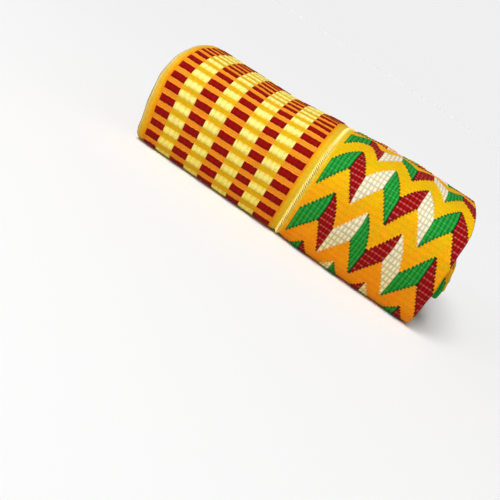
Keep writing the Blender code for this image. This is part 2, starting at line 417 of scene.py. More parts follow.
class Section:
    """The folded cloth's middle line, in order along the cloth, with its slide along X."""

    def __init__(self):
        layers = layers_by_segment()
        outline = [(BACK_LINE_Y + TURNS[0].behind, layer_height(layers[0]))]
        slides = [(0, TURNS[0].low)]
        for segment in range(LAYERS - 1):
            here, above = layers[segment], layers[segment + 1]
            turn = TURNS[segment + 1]
            fold = fold_between(min(here, above), max(here, above), turn, segment % 2 == 0)
            turn_slides = [turn.low, turn.high]
            if here > above:
                fold.reverse()
                turn_slides.reverse()
            add_run(outline, fold[0])
            slides.append((len(outline) - 1, turn_slides[0]))
            outline += fold[1:]
            slides.append((len(outline) - 1, turn_slides[1]))
        add_run(outline, (BACK_LINE_Y + TURNS[-1].behind, layer_height(layers[-1])))
        slides.append((len(outline) - 1, TURNS[-1].high))
        self.y, self.z = np.array(outline).T
        steps = np.hypot(np.diff(self.y), np.diff(self.z))
        self.along = np.concatenate([[0.0], np.cumsum(steps)])
        turns = self.along[[index for index, slide in slides]]
        self.slide = blend(turns, np.array([slide for index, slide in slides]), self.along)
        top_run = (self.z > BASE_HEIGHT - CLOTH_THICKNESS) & (self.y > FRONT_LINE_Y)
        self.mark = self.along[top_run][np.argmin(np.abs(self.y[top_run] - MARK_Y))]
        self.from_v = self.mark - self.along[-1]
        self.to_v = self.mark

    def at(self, v):
        """The middle line's y, z and slide at places v, measured from the mark."""
        along = self.mark - v
        return [np.interp(along, self.along, values) for values in (self.y, self.z, self.slide)]

    def from_end(self, v):
        """Distance from places v to the nearer free end."""
        return np.minimum(v - self.from_v, self.to_v - v)

    def turning(self, v):
        """How sharply the cloth bends at places v, in radians for each millimetre."""
        reach = 0.6
        angles = []
        for side in (-reach, reach):
            y, z, _ = self.at(np.stack([v + side - reach / 2, v + side + reach / 2]))
            angles.append(np.arctan2(z[1] - z[0], y[1] - y[0]))
        bend = np.abs((angles[1] - angles[0] + np.pi) % (2 * np.pi) - np.pi)
        return bend / (2 * reach)


def coarse_rows(section, from_v, to_v):
    """Rows across a hidden stretch: far apart on straight runs, close together round folds."""
    v = np.linspace(from_v, to_v, max(3, int(abs(to_v - from_v) * 2)))
    effort = 1.0 / COARSE_STEP + section.turning(v) / COARSE_TURN
    total = np.concatenate([[0.0], np.cumsum((effort[1:] + effort[:-1]) / 2 * np.diff(v))])
    count = max(2, math.ceil(total[-1]) + 1)
    return np.interp(np.linspace(0.0, total[-1], count), total, v)


def place(x, y, z, slide):
    """Where points of the section lie at x, with the pile's own unevenness."""
    layer = (z - CLOTH_THICKNESS / 2) / LAYER_PITCH
    ripple = RIPPLE * np.minimum(1.0, layer)
    x = x + slide
    beyond_seam = x - SEAM_X
    height_share = layer / (LAYERS - 1)
    forward = np.maximum(0.0, FRONT_LINE_Y - y)
    flat = ease(1.0 - forward / RIPPLE_FADE)
    y = y - forward * (read_table(GIRTHS, beyond_seam, "swell") - 1.0)
    z = z + height_share * (read_table(GIRTHS, beyond_seam, "top") - BASE_HEIGHT)
    z = z - height_share * BACK_FALL * ease((y - BACK_FALL_FROM_Y) / (BACK_FALL_TO_Y - BACK_FALL_FROM_Y))
    z = z - height_share ** 2 * HOLLOW_DEPTH * flat * ease(1.0 - np.abs(x - HOLLOW_X) / HOLLOW_REACH)
    wave = 2 * np.pi * (RIPPLE_TURNS_PER_LAYER * layer + x / (2 * CHECKED_WIDTH) + y / BASE_HEIGHT)
    z = z + ripple * flat * np.sin(wave)
    near_checked_end = ease((EDGE_REACH - CHECKED_WIDTH - beyond_seam) / EDGE_REACH)
    near_zigzag_end = ease((beyond_seam - ZIGZAG_WIDTH + EDGE_REACH) / EDGE_REACH)
    x = x + near_checked_end * read_table(EDGES, z, "checked")
    x = x + near_zigzag_end * read_table(EDGES, z, "zigzag")
    return np.stack([x, y, z], axis=-1)


def unit(vectors):
    """Directions of vectors."""
    return vectors / np.maximum(np.linalg.norm(vectors, axis=-1, keepdims=True), 1e-9)


def lean(x, v):
    """How far places on the cloth lean sideways."""
    from_rim = x + CHECKED_WIDTH
    checked = LEAN_AT_RIM + (1.0 - LEAN_AT_RIM) * ease(from_rim / LEAN_FULL)
    checked = checked * ease(1.0 - from_rim / LEAN_REACH)
    zigzag = ease(x / ZIGZAG_LEAN_FULL) * ease(1.0 - (x - ZIGZAG_LEAN_TO) / ZIGZAG_LEAN_FADE)
    return read_table(LEAN, v, "checked") * checked + read_table(LEAN, v, "zigzag") * zigzag


def lay(section, x, v, skew):
    """Where the pattern's place x across and v along the cloth lies in the folded bundle."""
    y, z, slide = section.at(v + read_table(CREEP, v, "shift") - skew * x)
    return place(SEAM_X + x + lean(x, v), y, z, slide)


def hem_rise(section, v):
    """How far the turned-under hem lifts the inside face by the free ends."""
    from_end = section.from_end(v)
    return HEM_RISE * ease((HEM_WIDE - from_end) / HEM_STEP) * ease(from_end / HEM_STEP)


def end_taper(section, v):
    """Share of the cloth's thickness: its folded edge at a free end is rounded off."""
    short = 1.0 - np.clip(section.from_end(v) / END_ROUND, 0.0, 1.0)
    return np.sqrt(1.0 - short ** 2 * (1.0 - END_BLUNT ** 2))


def with_hem_rows(rows, end):
    """Rows with extra ones by a free end, so that the hem's step and stitches show."""
    inward = np.sign(rows.mean() - end)
    from_end = np.abs(rows - end)
    kept = rows[(from_end > HEM_ROWS[-1] + ROW_CLEAR) | (from_end < 1e-6)]
    return np.sort(np.concatenate([kept, end + inward * np.array(HEM_ROWS)]))


def middle_surface(section, across, v, skew):
    """Points, normals and sideways directions of the cloth's middle at every row and column."""
    x, v = np.meshgrid(across, v)
    sideways = unit(lay(section, x + PROBE, v, skew) - lay(section, x - PROBE, v, skew))
    forward = unit(lay(section, x, v + PROBE, skew) - lay(section, x, v - PROBE, skew))
    normal = unit(np.cross(forward, sideways))
    return lay(section, x, v, skew), normal, sideways


def checked_relief(x, v):
    """Height of the weave above the checked strip's face: each block of weft is a low pillow."""
    row = np.abs((v - FIRST_BLOCK) / BLOCK_PITCH % 1.0)
    from_middle = np.minimum(row, 1.0 - row) * BLOCK_PITCH / (BLOCK_TALL / 2)
    edges = np.array([-CHECKED_WIDTH] + [column.to_x for column in CHECKED_COLUMNS])
    low = stretch(edges, x)
    from_side = np.minimum(x - edges[low], edges[low + 1] - x)
    inside = (low > 0) & (low < len(edges) - 2)
    shoulder = ease(from_side / BLOCK_SHOULDER + 0.001)
    tall = np.sqrt(1.0 - np.clip(from_middle, 0.0, 1.0) ** BLOCK_ROUND)
    return BLOCK_RISE * tall * (BLOCK_END_RISE + (1.0 - BLOCK_END_RISE) * shoulder) * inside


def cell_across(x):
    """Place across the zigzag strip, counted in cells from the first leaf's edge."""
    to_cell = [-MARGIN_CELLS] + [LEAF_CELLS * count for count in range(len(LEAVES))]
    return np.interp(x, [0.0] + [leaf.to_x for leaf in LEAVES], to_cell)


def zigzag_relief(x, v):
    """Height of the weave above the zigzag strip's face: leaves stand up, cell by cell."""
    cell = cell_across(x)
    middle = np.floor(cell) + 0.5
    slanted = middle + (cell - middle) * LEAF_SLANT
    turn, column_turn = (np.abs(at / LEAF_CELLS % 2.0 - 1.0) for at in (slanted, middle))
    belly = LEAF_BELLY * np.sin(np.pi * turn)
    inside = (v - FIRST_PEAK - LEAF_TALL * turn + belly) % LEAF_PITCH
    in_column = (v - FIRST_PEAK - LEAF_TALL * column_turn + CELL_TALL) % LEAF_PITCH
    covered = (inside < LEAF_TALL + belly) & (cell >= 0.0)
    pillow = np.sqrt(np.abs(np.sin(np.pi * cell) * np.sin(np.pi * in_column / CELL_TALL)))
    return covered * (INLAY_RISE + CELL_PILLOW * pillow)


def crease_sag(x, v):
    """How deep the creases sink the cloth."""
    sag = np.zeros_like(x)
    for crease in CREASES:
        run = np.array([crease.to_x - crease.x, crease.to_v - crease.v])
        length = np.hypot(*run)
        ahead = ((x - crease.x) * run[0] + (v - crease.v) * run[1]) / length
        aside = ((x - crease.x) * run[1] - (v - crease.v) * run[0]) / length
        ends = ease(ahead / length * CREASE_TAPER) * ease((1.0 - ahead / length) * CREASE_TAPER)
        sag += crease.sunk * ends * ease(1.0 - np.abs(aside) / crease.wide)
    return sag


def sheet_relief(x, v):
    """What moves both faces of a sheet: the seam and the creases."""
    return seam_relief(x, v) - crease_sag(x, v)


def seam_relief(x, v):
    """The dip beside the seam, its bead, and the puckers that the stitches draw."""
    away = np.abs(x)
    dip = -SEAM_DIP * ease(1.0 - away / SEAM_DIP_REACH)
    bead = SEAM_BEAD * ease(1.0 - away / SEAM_BEAD_REACH)
    drawn = 0.5 + 0.5 * np.cos(2 * np.pi * v / PUCKER_PITCH)
    return dip + bead - PUCKER_DEPTH * ease(1.0 - away / PUCKER_REACH) * drawn


def checked_columns():
    """Columns of vertices across the outer checked sheet, close together at the block ends."""
    inner_edges = [column.to_x for column in CHECKED_COLUMNS[:-1]]
    edges = [RIM_WIDTH - CHECKED_WIDTH] + inner_edges + [-STRIP_GAP / 2 - RIM_WIDTH]
    columns = [edges[0]]
    for low, high in zip(edges, edges[1:]):
        inner = np.linspace(low + BLOCK_SHOULDER, high - BLOCK_SHOULDER, BLOCK_FACES)
        columns += list(inner) + [high]
    return np.array(columns)


def zigzag_columns():
    """Columns of vertices across the outer zigzag sheet, a few to each cell."""
    edges = [0.0] + [leaf.to_x for leaf in LEAVES]
    columns = []
    for count, low, high in zip([MARGIN_CELLS] + [LEAF_CELLS] * (len(LEAVES) - 1), edges, edges[1:]):
        columns += list(np.linspace(low, high, count * CELL_FACES, endpoint=False))
    columns = np.array(columns)
    first = STRIP_GAP / 2 + RIM_WIDTH
    last = ZIGZAG_WIDTH - RIM_WIDTH
    clear = (columns > first + COLUMN_CLEAR) & (columns < last - COLUMN_CLEAR)
    return np.concatenate([[first], columns[clear], [last]])


def outer_rows(section, fine_step, first):
    """Rows of the outer sheet: close together where it shows, on the pattern's own lines."""
    low = first + math.floor((FINE_FROM - first) / fine_step) * fine_step
    high = first + math.ceil((FINE_TO - first) / fine_step) * fine_step
    fine = np.arange(low, high + fine_step / 2, fine_step)
    before = coarse_rows(section, CUT_AT, low)[:-1]
    after = coarse_rows(section, high, section.to_v)[1:]
    return with_hem_rows(np.concatenate([before, fine, after]), section.to_v)


def hidden_columns(columns):
    """Columns of vertices, far apart, between the same edges."""
    count = math.ceil((columns[-1] - columns[0]) / HIDDEN_COLUMN) + 1
    return np.linspace(columns[0], columns[-1], count)


def rim_points(middle, normal, sideways, sag, half, loops, outward):
    """Points round one selvage, row by row, from the face to the inside."""
    angles = np.radians(RIM_ANGLES)[None, :, None]
    out = outward * RIM_WIDTH * loops * np.cos(angles) * sideways[:, None]
    up = (half * np.sin(angles) + sag) * normal[:, None]
    return middle[:, None] + out + up


def sheet_mesh(name, section, columns, rows, skew, relief):
    """A closed sheet: rings round the cloth, one for each row, with rounded selvages."""
    middle, normal, sideways = middle_surface(section, columns, rows, skew)
    x, v = np.meshgrid(columns, rows)
    taper = end_taper(section, rows)[:, None]
    lift = relief(x, v) * taper if relief else np.zeros_like(x)
    half = SHEET_THICKNESS / 2 * taper
    sag = sheet_relief(x, v)
    face = middle + normal * (half + lift + sag)[..., None]
    back_columns = hidden_columns(columns)
    back_middle, back_normal, _ = middle_surface(section, back_columns, rows, skew)
    back_x, back_v = np.meshgrid(back_columns, rows)
    inside = half + hem_rise(section, back_v) - sheet_relief(back_x, back_v)
    back = back_middle - back_normal * inside[..., None]
    loops = 1.0 + LOOP_RISE * np.cos(np.pi * rows / WEFT_PITCH)[:, None, None]
    rims = [rim_points(middle[:, side], normal[:, side], sideways[:, side], sag[:, side, None, None],
                       half[..., None], loops, outward) for side, outward in ((-1, 1.0), (0, -1.0))]
    rings = np.concatenate([face, rims[0], back[:, ::-1], rims[1][:, ::-1]], axis=1)
    rings[..., 2] = np.maximum(rings[..., 2], 0.0)
    rim_x = RIM_WIDTH * np.cos(np.radians(RIM_ANGLES))
    ring_x = np.concatenate([columns, columns[-1] + rim_x, back_columns[::-1], columns[0] - rim_x])
    return ring_mesh(name, rings, ring_x, rows, len(columns))


def spread(sizes, shares):
    """Places from 0 to 1 along stretches of steps, with a share of the whole for each stretch."""
    places = [0.0]
    for steps, share in zip(sizes, shares):
        length = np.cumsum(steps) / max(np.sum(steps), 1e-9)
        places += list(places[-1] + share * length)
    return np.array(places)


def bake_places(ring_x, rows, face_count):
    """Places round the rings and along the rows on a flat map: the shown face gets most of it."""
    steps = np.abs(np.diff(np.append(ring_x, ring_x[0]))) + MAP_STEP_SPARE
    rims = len(RIM_ANGLES) + 1
    back_end = len(ring_x) - rims
    stretches = [steps[:face_count - 1], steps[face_count - 1:face_count - 1 + rims],
                 steps[face_count - 1 + rims:back_end], steps[back_end:]]
    around = spread(stretches, (FACE_SHARE, RIM_SHARE, 1.0 - FACE_SHARE - 2 * RIM_SHARE, RIM_SHARE))
    gaps = np.diff(rows)
    shown = (rows[:-1] >= FINE_FROM - 1.0) & (rows[1:] <= FINE_TO + 1.0)
    weights = gaps * np.where(shown, SHOWN_WEIGHT, 1.0)
    along = np.concatenate([[0.0], np.cumsum(weights)]) / weights.sum()
    around = MAP_MARGIN + (1.0 - 2 * MAP_MARGIN) * around
    return around, CAP_STRIP + (1.0 - CAP_STRIP - MAP_MARGIN) * along


def bake_map(ring_x, rows, face_count):
    """Flat map places of every corner, in the order of the faces: the quads, then the two caps."""
    size = len(ring_x)
    around, along = bake_places(ring_x, rows, face_count)
    step, row = np.meshgrid(np.arange(size), np.arange(len(rows) - 1))
    quad_u = np.stack([around[step], around[step], around[step + 1], around[step + 1]], axis=-1)
    quad_v = np.stack([along[row], along[row + 1], along[row + 1], along[row]], axis=-1)
    across = MAP_MARGIN + CAP_SHARE * (ring_x - ring_x.min()) / np.ptp(ring_x)
    upward = CAP_STRIP / 3 * (1.0 + (np.arange(size) < face_count))
    first, last = [np.stack([across + shift, upward], axis=-1) for shift in CAP_PLACES]
    return np.concatenate([np.stack([quad_u.ravel(), quad_v.ravel()], axis=-1), first, last[::-1]])


def ring_mesh(name, rings, ring_x, rows, face_count):
    """Mesh of rings joined row by row and capped, with its place in the cloth as a UV map."""
    count, size = rings.shape[:2]
    index = np.arange(count * size).reshape(count, size)
    here, there = index[:-1], index[1:]
    quads = np.stack([here, there, np.roll(there, -1, axis=1), np.roll(here, -1, axis=1)], axis=-1)
    caps = [index[0].tolist(), index[-1][::-1].tolist()]
    mesh = bpy.data.meshes.new(name)
    mesh.from_pydata((rings.reshape(-1, 3) * MM).tolist(), [], quads.reshape(-1, 4).tolist() + caps)
    flat = np.stack([np.tile(ring_x, count), np.repeat(rows, size)], axis=-1) * MM
    corners = np.zeros(len(mesh.loops), dtype=np.int32)
    mesh.loops.foreach_get("vertex_index", corners)
    for layer, places in (("cloth", flat[corners]), ("OFBake", bake_map(ring_x, rows, face_count))):
        mesh.uv_layers.new(name=layer).data.foreach_set("uv", places.astype(np.float32).ravel())
    mesh.validate()
    mesh.update()
    return mesh


def operator(operation):
    """A method that joins a number to others in one operation."""
    return lambda number, *others: number.shader.math(operation, number, *others)


class Number:
    """A number that a material works out, written as plain arithmetic."""

    __add__ = operator("ADD")
    __sub__ = operator("SUBTRACT")
    __mul__ = operator("MULTIPLY")
    __truediv__ = operator("DIVIDE")
    __mod__ = operator("FLOORED_MODULO")
    __pow__ = operator("POWER")
    __lt__ = operator("LESS_THAN")
    __gt__ = operator("GREATER_THAN")
    __abs__ = operator("ABSOLUTE")
    floor = operator("FLOOR")
    round = operator("ROUND")
    sine = operator("SINE")
    least = operator("MINIMUM")
    most = operator("MAXIMUM")

    def __init__(self, shader, socket):
        self.shader = shader
        self.socket = socket

    def __rsub__(self, other):
        return self.shader.math("SUBTRACT", other, self)

    def clamped(self):
        """This number kept from 0 to 1."""
        return self.most(0.0).least(1.0)

    def between(self, low, high):
        """A value as far from low to high as this number is from 0 to 1."""
        return self * (high - low) + low


class Shader:
    """Lays down the nodes of one material."""

    def __init__(self, name):
        self.material = bpy.data.materials.new(name)
        self.material.use_nodes = True
        self.tree = self.material.node_tree
        self.surface = self.tree.nodes["Principled BSDF"]

    def node(self, kind, *values, **settings):
        """A new node with its settings, and with values fed to its first sockets."""
        node = self.tree.nodes.new("ShaderNode" + kind)
        for name, value in settings.items():
            setattr(node, name, value)
        for socket, value in zip(node.inputs, values):
            self.feed(socket, value)
        return node

    def number(self, kind, *values, **settings):
        """The first number that such a node gives."""
        return Number(self, self.node(kind, *values, **settings).outputs[0])

    def feed(self, socket, value):
        """Join a value, a colour or another node's output to a socket."""
        if isinstance(value, Number):
            value = value.socket
        if isinstance(value, bpy.types.NodeSocket):
            self.tree.links.new(value, socket)
        else:
            socket.default_value = value

    def math(self, operation, *values):
        return self.number("Math", *values, operation=operation)

    def mix(self, share, low, high):
        """Colour between low and high."""
        node = self.node("Mix", share, data_type="RGBA")
        self.feed(node.inputs[6], low)
        self.feed(node.inputs[7], high)
        return node.outputs[2]

    def ramp(self, where, stops, interpolation):
        """Colours at places from 0 to 1."""
        node = self.node("ValToRGB", where)
        node.color_ramp.interpolation = interpolation
        elements = node.color_ramp.elements
        elements.remove(elements[1])
        elements[0].position = stops[0][0]
        elements[0].color = stops[0][1]
        for position, colour in stops[1:]:
            elements.new(position).color = colour
        return node.outputs[0]

    def ladder(self, where, rungs, steps=None):
        """Place on an uneven ladder: steps says how much each stretch between rungs counts for."""
        steps = steps or [1] * (len(rungs) - 1)
        total = sum(steps)
        length = rungs[-1] - rungs[0]
        stops = []
        for count, rung in enumerate(rungs):
            stops.append(((rung - rungs[0]) / length, (sum(steps[:count]) / total,) * 3 + (1.0,)))
        share, _ = self.channels(self.ramp((where - rungs[0]) / length, stops, "LINEAR"))
        return share * total

    def choice(self, number, colours):
        """The colour that a whole number picks from a list."""
        stops = [(count / len(colours), colour) for count, colour in enumerate(colours)]
        return self.ramp((number.floor() + 0.5) / len(colours), stops, "CONSTANT")

    def yarn(self, yarn, height):
        """A yarn's colour between its groove's painted shade and its top's painted highlight."""
        return self.mix(height, yarn.groove, yarn.top)

    def shade(self, colour, by):
        """A colour made darker or lighter, by one number or by one for each channel."""
        return self.node("VectorMath", colour, by, operation="MULTIPLY").outputs[0]

    def channels(self, colour):
        """The red and green shares of a colour."""
        return [Number(self, share) for share in self.node("SeparateColor", colour).outputs[:2]]

    def noise(self, place, grain):
        """Smooth noise from 0 to 1 at a place."""
        return self.number("TexNoise", place, 0.0, grain)

    def clouds(self, x, v, grain, slice_at=0.0):
        """Smooth noise from 0 to 1 over the cloth, cut from one slice of it."""
        return self.noise(self.point(x * grain[0], v * grain[1], slice_at), 1.0)

    def chance(self, x, y):
        """One steady random value from 0 to 1 for each whole number x and y."""
        return self.number("TexWhiteNoise", self.point(x, y), noise_dimensions="2D")

    def point(self, x, y, z=0.0):
        return self.node("CombineXYZ", x, y, z).outputs[0]

    def cloth_place(self):
        """Distance from the seam and place along the cloth, in millimetres."""
        split = self.node("SeparateXYZ", self.node("UVMap", uv_map="cloth").outputs[0])
        return [Number(self, place) * (1.0 / MM) for place in split.outputs[:2]]

    def bump(self, height, distance, strength):
        node = self.node("Bump")
        node.inputs["Distance"].default_value = distance * MM
        node.inputs["Strength"].default_value = strength
        self.feed(node.inputs["Height"], height)
        self.feed(self.surface.inputs["Normal"], node.outputs[0])


def hue(red, green, blue):
    """A screen colour, from 0 to 255 each, as a linear colour."""
    return tuple((channel / 255) ** 2.2 for channel in (red, green, blue)) + (1.0,)


# Yarn colours: the groove beside a float in painted shade, the float's top with a painted highlight, and
# the gap at its ends
Yarn = namedtuple("Yarn", "groove top gap", defaults=(None,))
RED_BLOCK = Yarn(hue(88, 0, 0), hue(152, 8, 4))
YELLOW_BLOCK = Yarn(hue(226, 182, 36), hue(255, 242, 138))
ORANGE_GROUND = Yarn(hue(224, 118, 26), hue(250, 154, 42))
GOLD_GROUND = Yarn(hue(206, 150, 6), hue(234, 184, 18))
CREAM = hue(250, 222, 112)
PALE_GOLD = hue(230, 190, 50)
DULL_CREAM = hue(226, 204, 132)
DULL_GOLD = hue(226, 182, 76)
SEAM_GOLD = hue(244, 182, 24)
SEAM_ORANGE = hue(240, 146, 18)
# Painted shade: a dark line along the checked strip's outer edge
RIM_SHADE_LINE = hue(84, 44, 40)
# The zigzag ground: its gold, the orange it turns in painted warm shade and in streaks of dye, and its
# olive mottle
ZIGZAG_GOLD = hue(236, 182, 4)
ZIGZAG_ORANGE = hue(250, 140, 14)
ZIGZAG_OLIVE = hue(210, 180, 14)
LEAF_YARNS = {
    "green": Yarn(hue(10, 82, 24), hue(36, 160, 58), hue(78, 170, 92)),
    "red": Yarn(hue(84, 0, 2), hue(164, 10, 14), hue(224, 104, 98)),
    "white": Yarn(hue(182, 168, 122), hue(252, 242, 214), hue(196, 182, 134)),
}

# Lines at distances from the seam and from the outer edge: plain warp, and right at the outer edge a
# dark line of painted shade
SEAM_LINES = (
    (0.0, CREAM),
    (1.0, CREAM),
    (1.8, PALE_GOLD),
    (3.2, PALE_GOLD),
    (4.4, SEAM_GOLD),
    (6.0, SEAM_ORANGE),
)
RIM_LINES = (
    (0.0, RIM_SHADE_LINE),
    (0.4, RIM_SHADE_LINE),
    (0.7, DULL_CREAM),
    (2.0, DULL_GOLD),
    (3.4, SEAM_GOLD),
    (5.0, SEAM_ORANGE),
)

# A red share for the red columns and a green share for the edges
COLUMN_KINDS = {
    "red": (1.0, 0.0, 0.0, 1.0),
    "yellow": (0.0, 0.0, 0.0, 1.0),
    "edge": (0.0, 1.0, 0.0, 1.0),
}

# How round the threads, ribs and cells are, and how much higher one part stands than another, which sets
# their painted shade and highlight
THREAD_ROUND = 0.6
RIB_ROUND = 0.7
RIB_SHARE = 0.45
BLOCK_SHARE = 0.75
BLOCK_SWELL = 1.35
CELL_SHARE = 0.65

# Dark places between leaves and at their stepped edges
JOINT_REACH = 0.24
JOINT_SHADE = 0.36
JOINT_EVERY = 3
JOINT_FIRST = 1
TOOTH_TALL = 1.6
TOOTH_SHADE = 0.55
GAP_REACH = 0.55
GAP_SHARE = 0.85

# Painted shade that grows darker and warmer towards the front's lower edge, streaks and mottling of
# uneven dye, and fine changes of shade: painted shade between threads and rows, and random tones from
# thread to thread and cloud to cloud
# A wave along the cloth that places painted shade by the front's lower edge
SHADE_WAVE_PITCH = 134.0
SHADE_WAVE_FROM = 38.0
# How far painted warm shade turns the zigzag ground orange, and random streaks of uneven dye across it
WARM_SHADE_SHARE = 0.85
DYE_BANDS = (-0.40, 0.40)
MOTTLE = (-1.40, 1.60)
MOTTLE_SLICE = 7.0
# Painted shade towards the front's lower edge: its warm tint, and how closely it keeps to that edge
UNDERSIDE_SHADE_TINT = (0.80, 0.74, 0.45)
UNDERSIDE_SHADE_POWER = 6.0
CELL_SHADES = (0.93, 1.03)
THREAD_SHADES = (0.78, 1.08)
SPECK_SHADES = (0.93, 1.07)
DRIFT_SHADES = (0.90, 1.10)
ROUGHNESS = (0.72, 0.86)
GLOSS = 0.10
SEWING_THREAD = hue(255, 234, 142)
SEWING_GRAIN = 900.0
SEWING_ROUGHNESS = 0.7

# Clouds to a millimetre, across and along the cloth
DRIFT_GRAIN = (0.05, 0.09)
BAND_GRAIN = (0.22, 0.03)
MOTTLE_GRAIN = (0.16, 0.11)

# Fine relief of the threads: its height, and how strongly it shows
CLOTH_BUMP = (0.3, 0.8)
SEWING_BUMP = (0.1, 0.6)


def wave(where, pitch, power):
    """A row of round humps from 0 to 1, one to each pitch."""
    return abs((where * (math.pi / pitch)).sine()) ** power


def thread_relief(x, v):
    """Height of single threads: each weft passes over one warp and under the next."""
    weft = (v / WEFT_PITCH).floor()
    over = wave(x + weft % 2.0 * (WARP_PITCH / 2), WARP_PITCH, THREAD_ROUND)
    return weft, over * wave(v, WEFT_PITCH, THREAD_ROUND)


def underside_shade_wave(v):
    """A wave along the cloth from -1 to 1, at 1 by the front's lower edge, that places the painted shade
    there.
    """
    return ((v - SHADE_WAVE_FROM) * (math.pi / SHADE_WAVE_PITCH)).sine()


def hem_stitches(shader, colour, x, v, ends):
    """A running stitch in pale thread along each free end's hem."""
    from_rim = (x + CHECKED_WIDTH).least(ZIGZAG_WIDTH - x).least(abs(x))
    dash = (x % HEM_STITCH_PITCH < HEM_STITCH_LONG) * (from_rim > HEM_STITCH_CLEAR)
    for end, inward in zip(ends, (1.0, -1.0)):
        line = abs(v - (end + inward * HEM_STITCH_AT)) < HEM_STITCH_WIDE / 2
        colour = shader.mix(line * dash, colour, CREAM)
    return colour


def finish_cloth(shader, colour, x, v, ends):
    """Give a cloth its hem stitches, painted shade towards the front's lower edge, painted shade between
    threads with random thread-by-thread shades, relief and soft gloss.
    """
    colour = hem_stitches(shader, colour, x, v, ends)
    # Painted shade: the yarn turns darker and warmer towards the front's lower edge
    painted_underside_shade = underside_shade_wave(v).most(0.0) ** UNDERSIDE_SHADE_POWER
    colour = shader.mix(painted_underside_shade, colour, shader.shade(colour, UNDERSIDE_SHADE_TINT))
    weft, threads = thread_relief(x, v)
    speck = shader.chance((x / WARP_PITCH).floor(), weft)
    drift = shader.clouds(x, v, DRIFT_GRAIN).between(*DRIFT_SHADES)
    # Painted shade between the threads, times random shades from thread to thread and cloud to cloud
    shade = threads.between(*THREAD_SHADES) * speck.between(*SPECK_SHADES) * drift
    shader.feed(shader.surface.inputs["Base Color"], shader.shade(colour, shade))
    shader.feed(shader.surface.inputs["Roughness"], speck.between(*ROUGHNESS))
    shader.surface.inputs["Specular IOR Level"].default_value = GLOSS
    shader.bump(threads, *CLOTH_BUMP)
    return shader.material


def edge_bands(shader, from_edge, lines):
    """Lines by a strip's edge: plain warp, and at the checked strip's outer edge a dark line of painted
    shade.
    """
    stops = [(reach / EDGE_BAND, colour) for reach, colour in lines]
    return shader.ramp(from_edge / EDGE_BAND, stops, "LINEAR")


def checked_weave(ends):
    """Golden ground with rows of dark red and pale yellow blocks, with painted shade and highlight on
    blocks, ribs and weft rows.
    """
    shader = Shader("checked_weave")
    x, v = shader.cloth_place()
    column = shader.ladder(x, [-CHECKED_WIDTH] + [stripe.to_x for stripe in CHECKED_COLUMNS])
    kinds = [COLUMN_KINDS[stripe.colour] for stripe in CHECKED_COLUMNS]
    red, edge = shader.channels(shader.choice(column, kinds))
    row = (v - FIRST_BLOCK) / BLOCK_PITCH
    jitter = shader.chance((x / WARP_PITCH).floor(), row.round())
    row = row + jitter.between(-BLOCK_JITTER / 2, BLOCK_JITTER / 2)
    from_middle = abs(row - row.round())
    half = red.between(YELLOW_TALL / BLOCK_PITCH / 2, RED_TALL / BLOCK_PITCH / 2)
    # Painted shade and highlight: each block is lit on its middle and ribs and shaded towards its ends
    swell = (from_middle / half) ** BLOCK_SWELL
    height = wave(x, RIB_PITCH, RIB_ROUND) * RIB_SHARE + BLOCK_SHARE - swell * BLOCK_SHARE
    block = shader.mix(red, shader.yarn(YELLOW_BLOCK, height), shader.yarn(RED_BLOCK, height))
    # Painted shade on the ground between weft rows
    beat = wave(v, 2 * WEFT_PITCH, RIB_ROUND)
    ground = shader.mix(red, shader.yarn(GOLD_GROUND, beat), shader.yarn(ORANGE_GROUND, beat))
    colour = shader.mix(from_middle < half, ground, block)
    at_rim = edge_bands(shader, x + CHECKED_WIDTH, RIM_LINES)
    at_seam = edge_bands(shader, abs(x), SEAM_LINES)
    bands = shader.mix(x > -CHECKED_WIDTH / 2, at_rim, at_seam)
    return finish_cloth(shader, shader.mix(edge, colour, bands), x, v, ends)


def leaf_turn(cell):
    """From 0 at a leaf row's peaks to 1 at its valleys."""
    return abs(cell / LEAF_CELLS % 2.0 - 1.0)


def below_leaf_top(turn, v, raised):
    """How far a place lies below the top edge of its leaf row, with that edge raised."""
    return (v - (turn * LEAF_TALL + FIRST_PEAK - raised)) % LEAF_PITCH


def leaf_colour(shader, cell, order, across, along):
    """The leaves' yarn: painted shade in its grooves and painted highlight on its floats, the gaps
    between cells, and some dark joints.
    """
    yarns = [LEAF_YARNS[leaf] for leaf in LEAF_ORDER]
    groove, top, gap = [shader.choice(order, colours) for colours in zip(*yarns)]
    # Painted shade in each cell's grooves and a painted highlight on its float
    float_colour = shader.mix(across * along.between(CELL_SHARE, 1.0), groove, top)
    at_gap = (1.0 - along / GAP_REACH).clamped() * across * GAP_SHARE
    inlay = shader.mix(at_gap, float_colour, gap)
    joint = (cell / LEAF_CELLS).round()
    at_joint = abs(cell - joint * LEAF_CELLS) < JOINT_REACH
    dark = at_joint * (abs(joint % JOINT_EVERY - JOINT_FIRST) < 0.5)
    return shader.shade(inlay, dark.between(1.0, JOINT_SHADE))


def zigzag_ground(shader, x, v):
    """Gold that turns to orange in painted warm shade towards the front's lower edge, with streaks of
    uneven dye, mottled with olive where it is gold, and with painted shade between the rows of cells.
    """
    bands = shader.clouds(x, v, BAND_GRAIN).between(*DYE_BANDS)
    # Painted warm shade: the gold turns orange towards the front's lower edge, with random streaks of
    # uneven dye
    warm_shade_and_dye = (underside_shade_wave(v) ** 2.0 * WARM_SHADE_SHARE + bands).clamped()
    mottle = shader.clouds(x, v, MOTTLE_GRAIN, MOTTLE_SLICE).between(*MOTTLE)
    mottle = mottle.clamped() * (1.0 - warm_shade_and_dye)
    ground = shader.mix(mottle, shader.mix(warm_shade_and_dye, ZIGZAG_GOLD, ZIGZAG_ORANGE), ZIGZAG_OLIVE)
    # Painted shade between the rows of cells
    return shader.shade(ground, wave(v, CELL_TALL, RIB_ROUND).between(*CELL_SHADES))


